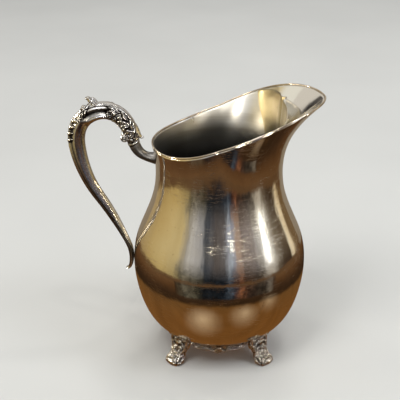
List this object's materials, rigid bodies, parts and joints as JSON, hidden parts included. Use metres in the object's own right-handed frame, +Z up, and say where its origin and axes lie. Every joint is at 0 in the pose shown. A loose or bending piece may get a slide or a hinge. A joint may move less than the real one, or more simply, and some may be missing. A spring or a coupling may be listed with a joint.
{
  "type": "water pitcher",
  "caption": "Footed pear-shaped silver water pitcher with a wide rising spout, an ice guard, a cast scroll handle and a cast apron between its feet.",
  "frame": {"origin": "middle of the overall bounding box in X and Y, at the height of the feet bottoms", "axes": "+X towards the spout, -X towards the handle, +Z up, Y across the pitcher"},
  "size_m": [0.2194, 0.1536, 0.2393],
  "materials": {
    "plated_sheet": "silver-plated, polished, warm tarnish and fine scratches",
    "rim_wire": "silver-plated, polished wire",
    "plated_casting": "silver-plated casting with dark tarnish in the recesses"
  },
  "bodies": {
    "root": {"body_shell": "plated_sheet", "ice_guard": "plated_sheet", "rim_wire": "rim_wire", "handle": "plated_casting", "foot_back_right": "plated_casting", "foot_back_left": "plated_casting", "foot_front_left": "plated_casting", "foot_front_right": "plated_casting", "apron_right": "plated_casting", "apron_back": "plated_casting", "apron_left": "plated_casting", "apron_front": "plated_casting"}
  },
  "joints": []
}
